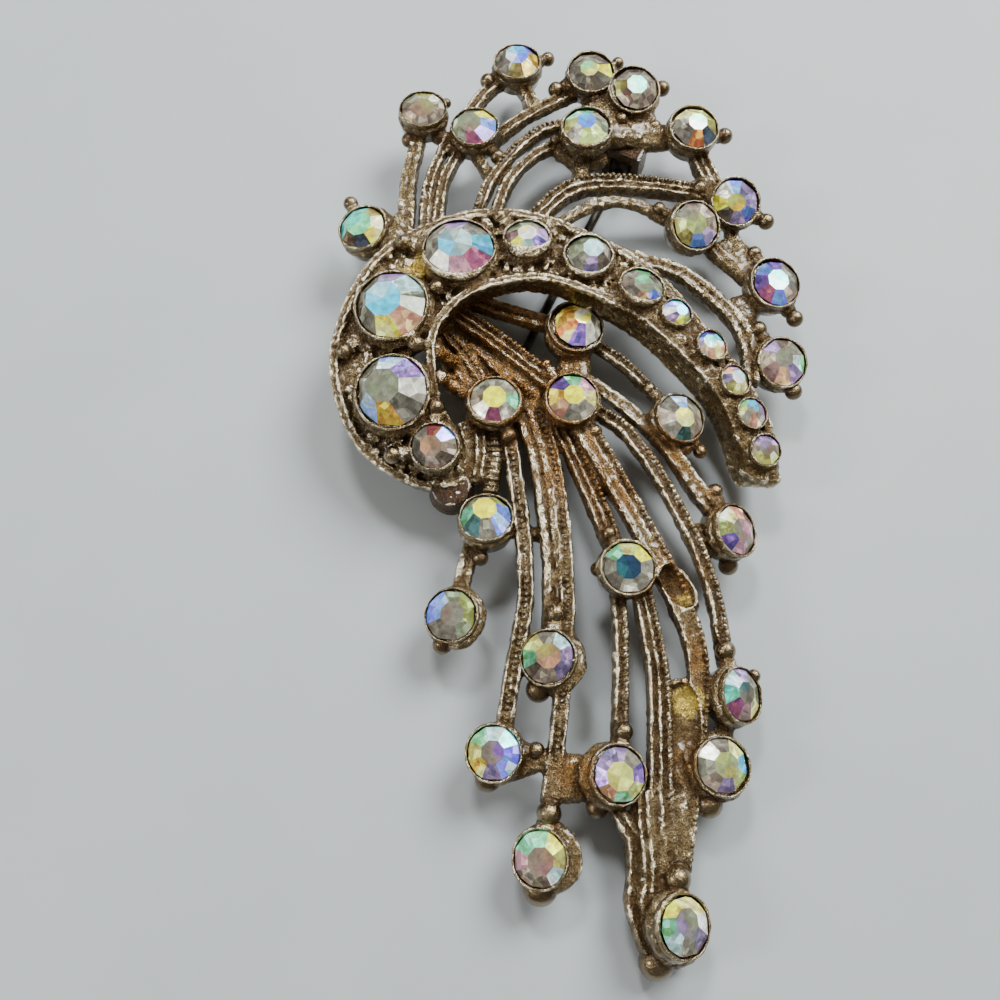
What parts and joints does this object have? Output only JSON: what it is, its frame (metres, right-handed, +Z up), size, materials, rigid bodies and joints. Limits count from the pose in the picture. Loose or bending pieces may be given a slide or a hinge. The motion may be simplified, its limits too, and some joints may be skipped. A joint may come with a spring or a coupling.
{
  "type": "floral sprig brooch",
  "caption": "Floral sprig brooch: a crescent and two fans of beaded stems in antiqued metal, set with round iridescent crystals, with a pin and a catch on the back.",
  "frame": {"origin": "middle of the bounding box in X and Y, at the table that the back rests on", "axes": "+Z up out of the stones' side, +Y towards the upper sprigs, +X to the right seen from the front"},
  "size_m": [0.0449, 0.0898, 0.0112],
  "materials": {
    "metal": "antiqued pale gold plate over white metal, worn and grainy",
    "pin": "dark tarnished wire",
    "crystal": "cut crystal with an iridescent coat and a foil back"
  },
  "bodies": {
    "root": {"casting": "metal", "pin_stem": "pin", "crescent_stone_1": "crystal", "crescent_stone_2": "crystal", "crescent_stone_3": "crystal", "crescent_stone_4": "crystal", "crescent_stone_5": "crystal", "crescent_stone_6": "crystal", "crescent_stone_7": "crystal", "crescent_stone_8": "crystal", "crescent_stone_9": "crystal", "crescent_stone_10": "crystal", "crescent_stone_11": "crystal", "crescent_stone_12": "crystal", "upper_stone_1": "crystal", "upper_stone_2": "crystal", "upper_stone_3": "crystal", "upper_stone_4": "crystal", "upper_stone_5": "crystal", "upper_stone_6": "crystal", "upper_stone_7": "crystal", "upper_stone_8": "crystal", "upper_stone_9": "crystal", "upper_stone_10": "crystal", "upper_stone_11": "crystal", "upper_stone_12": "crystal", "lower_stone_1": "crystal", "lower_stone_2": "crystal", "lower_stone_3": "crystal", "lower_stone_4": "crystal", "lower_stone_5": "crystal", "lower_stone_6": "crystal", "lower_stone_7": "crystal", "lower_stone_8": "crystal", "lower_stone_9": "crystal", "lower_stone_10": "crystal", "lower_stone_11": "crystal", "lower_stone_12": "crystal", "lower_stone_13": "crystal", "lower_stone_14": "crystal", "lower_stone_15": "crystal"}
  },
  "joints": []
}
